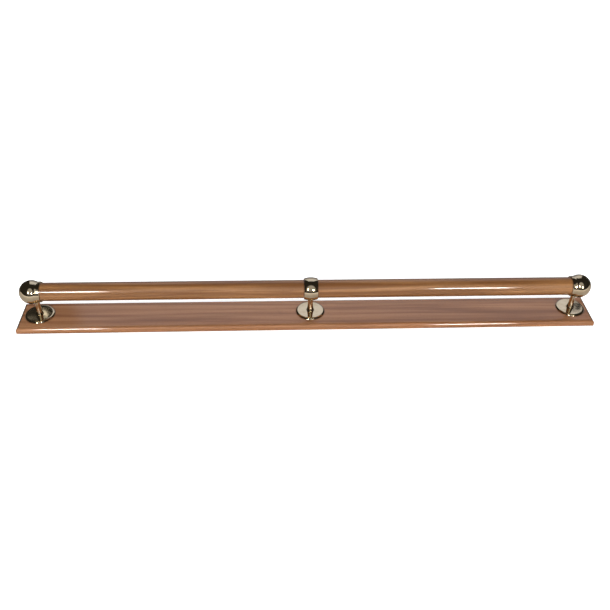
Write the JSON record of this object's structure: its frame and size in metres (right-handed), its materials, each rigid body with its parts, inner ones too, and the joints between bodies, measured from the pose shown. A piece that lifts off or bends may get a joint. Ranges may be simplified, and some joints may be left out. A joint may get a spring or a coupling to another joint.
{
  "type": "grab rail",
  "caption": "Round wooden grab rail held above a long moulded wooden backboard by polished brass brackets: ball-ended sockets at the ends and a barrel ring in the middle, on round flanges.",
  "frame": {"origin": "centre of the board's back face, which is the face that goes against the wall", "axes": "+X along the rail, +Y across the board, +Z out of the board towards the rail"},
  "size_m": [1.434, 0.104, 0.1141],
  "materials": {
    "board_wood": "varnished",
    "rail_wood": "varnished",
    "polished_brass": "mirror polished",
    "screw_brass": "satin",
    "insert_brass": "as turned",
    "stainless_steel": "satin"
  },
  "bodies": {
    "root": {"backboard": "board_wood", "hand_rail": "rail_wood", "wall_inserts": "insert_brass", "left_rose": "polished_brass", "left_stem": "polished_brass", "left_end_socket": "polished_brass", "left_stud": "stainless_steel", "left_washer": "stainless_steel", "left_spring_washer": "stainless_steel", "left_nut": "stainless_steel", "left_rail_screw": "screw_brass", "centre_rose": "polished_brass", "centre_stem": "polished_brass", "centre_ring": "polished_brass", "centre_stud": "stainless_steel", "centre_washer": "stainless_steel", "centre_spring_washer": "stainless_steel", "centre_nut": "stainless_steel", "centre_rail_screw": "screw_brass", "right_rose": "polished_brass", "right_stem": "polished_brass", "right_end_socket": "polished_brass", "right_stud": "stainless_steel", "right_washer": "stainless_steel", "right_spring_washer": "stainless_steel", "right_nut": "stainless_steel", "right_rail_screw": "screw_brass"}
  },
  "joints": []
}
